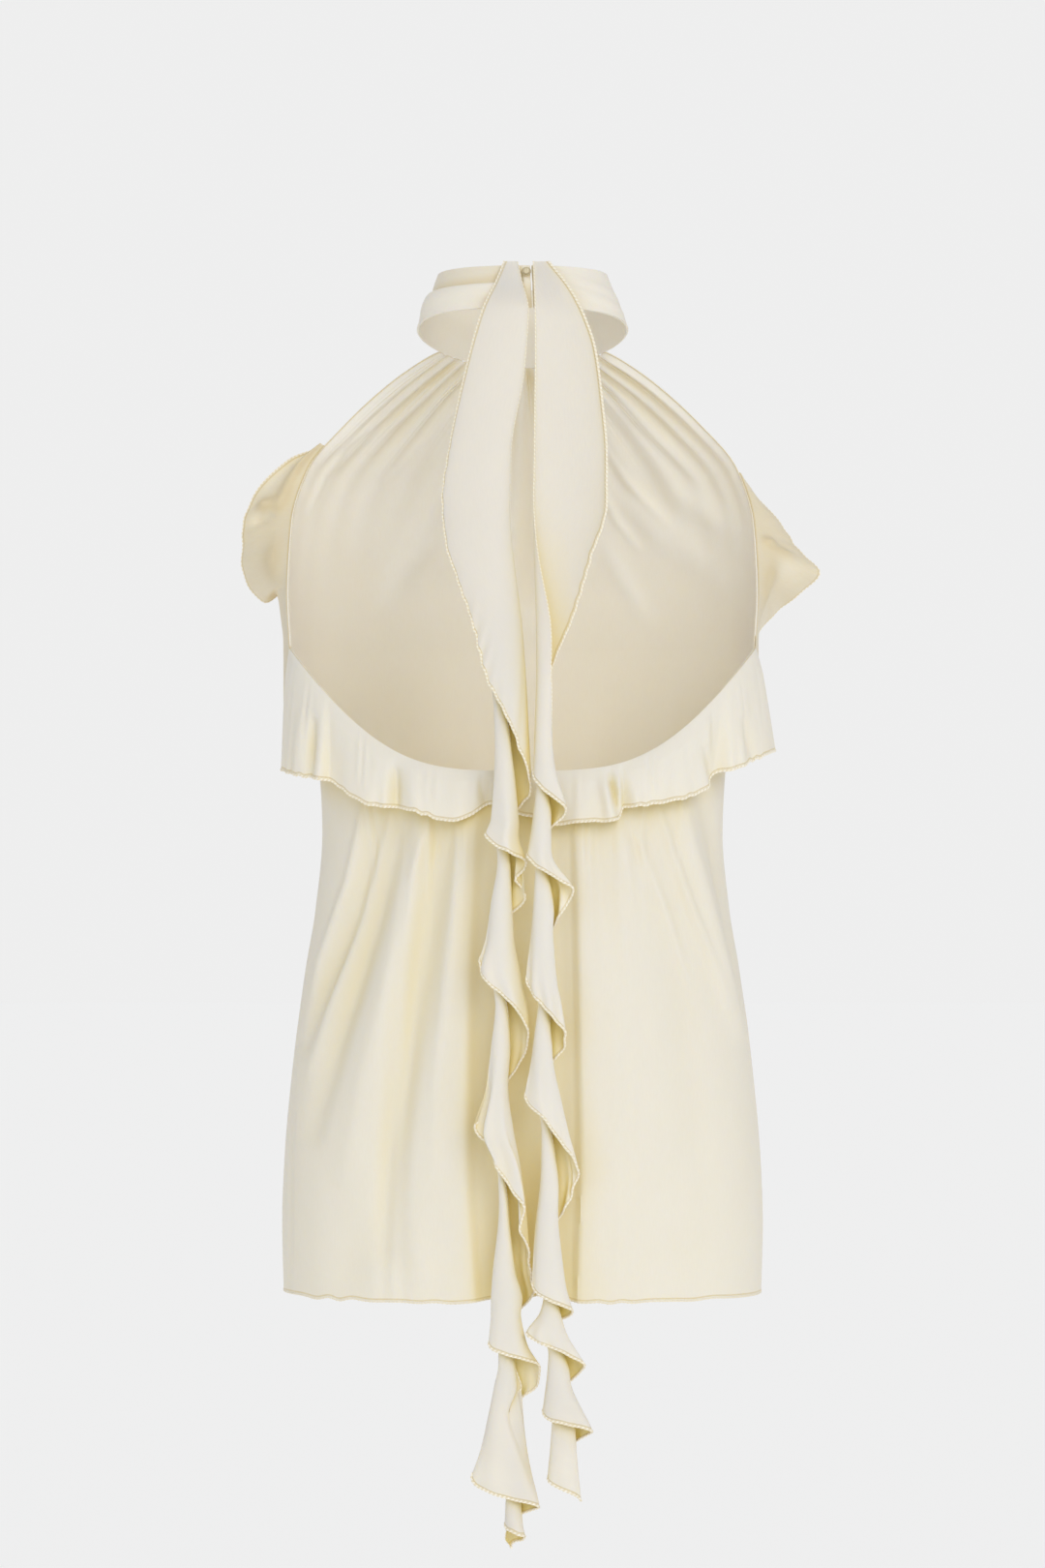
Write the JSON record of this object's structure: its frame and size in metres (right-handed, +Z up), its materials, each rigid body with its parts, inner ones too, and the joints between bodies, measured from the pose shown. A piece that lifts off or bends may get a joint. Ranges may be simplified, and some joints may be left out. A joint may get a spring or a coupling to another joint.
{
  "type": "halter neck top",
  "caption": "Sleeveless open-back top held by a buttoned neck band, with a gathered front, ruffled armholes and two long spiral-cut scarf ties down the back.",
  "frame": {"origin": "centre of the neck band, where the wearer's neck holds the top", "axes": "+Z up; the wearer faces -Y, so the open back and the ties are on the +Y side; +X is the wearer's left"},
  "size_m": [0.3661, 0.2452, 0.7788],
  "materials": {
    "band_cloth": "smooth cream crepe with a faint sheen",
    "front_cloth": "smooth cream crepe with a faint sheen",
    "back_cloth": "smooth cream crepe with a faint sheen",
    "flounce_cloth": "smooth cream crepe, narrow stitched hem",
    "tie_cloth": "soft ivory crepe, narrow stitched hem",
    "button_cloth": "cloth-covered button",
    "loop_thread": "twisted thread loop"
  },
  "bodies": {
    "root": {"neck_band": "band_cloth", "front_panel": "front_cloth", "back_panel": "back_cloth", "flounce_back": "flounce_cloth", "flounce_left": "flounce_cloth", "flounce_right": "flounce_cloth", "tie_left": "tie_cloth", "tie_right": "tie_cloth", "neck_button": "button_cloth", "button_loop": "loop_thread"}
  },
  "joints": []
}
